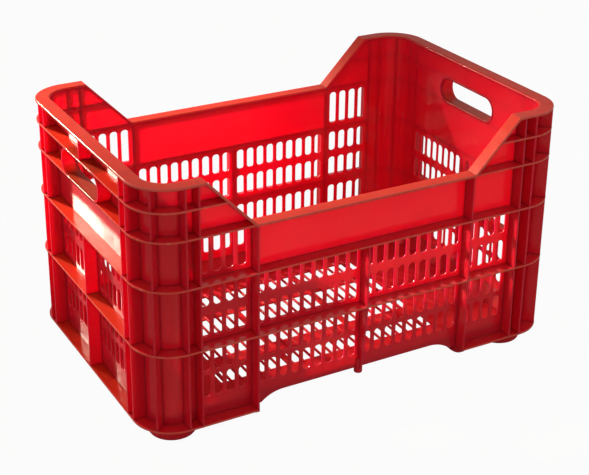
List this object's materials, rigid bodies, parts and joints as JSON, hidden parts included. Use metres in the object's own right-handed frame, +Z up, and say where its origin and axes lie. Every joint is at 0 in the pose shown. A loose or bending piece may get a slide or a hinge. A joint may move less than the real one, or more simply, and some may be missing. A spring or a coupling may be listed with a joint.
{
  "type": "ventilated harvest crate",
  "caption": "Open ventilated harvest crate with ribbed slotted walls, rounded corner posts, dipped long sides, hand holes in both ends, a slatted floor and feet for stacking.",
  "frame": {"origin": "under the middle of the crate, level with the bottoms of the feet", "axes": "+X along the long walls to the right end, +Y across to the rear wall, +Z up"},
  "size_m": [0.55, 0.36, 0.3164],
  "materials": {
    "red_polyethylene": "satin moulded red polyethylene"
  },
  "bodies": {
    "root": {"floor_ribs": "red_polyethylene", "floor_slats": "red_polyethylene", "front_floor_slope": "red_polyethylene", "front_left_foot": "red_polyethylene", "front_left_post": "red_polyethylene", "front_left_wing_panel": "red_polyethylene", "front_left_wing_rim": "red_polyethylene", "front_peg": "red_polyethylene", "front_right_foot": "red_polyethylene", "front_right_post": "red_polyethylene", "front_right_wing_panel": "red_polyethylene", "front_right_wing_rim": "red_polyethylene", "front_side_panel": "red_polyethylene", "front_side_rim": "red_polyethylene", "left_cross_beam": "red_polyethylene", "left_end_panel": "red_polyethylene", "left_end_rim": "red_polyethylene", "left_floor_slope": "red_polyethylene", "left_handle_panel": "red_polyethylene", "rear_floor_slope": "red_polyethylene", "rear_left_foot": "red_polyethylene", "rear_left_post": "red_polyethylene", "rear_left_wing_panel": "red_polyethylene", "rear_left_wing_rim": "red_polyethylene", "rear_peg": "red_polyethylene", "rear_right_foot": "red_polyethylene", "rear_right_post": "red_polyethylene", "rear_right_wing_panel": "red_polyethylene", "rear_right_wing_rim": "red_polyethylene", "rear_side_panel": "red_polyethylene", "rear_side_rim": "red_polyethylene", "right_cross_beam": "red_polyethylene", "right_end_panel": "red_polyethylene", "right_end_rim": "red_polyethylene", "right_floor_slope": "red_polyethylene", "right_handle_panel": "red_polyethylene"}
  },
  "joints": []
}
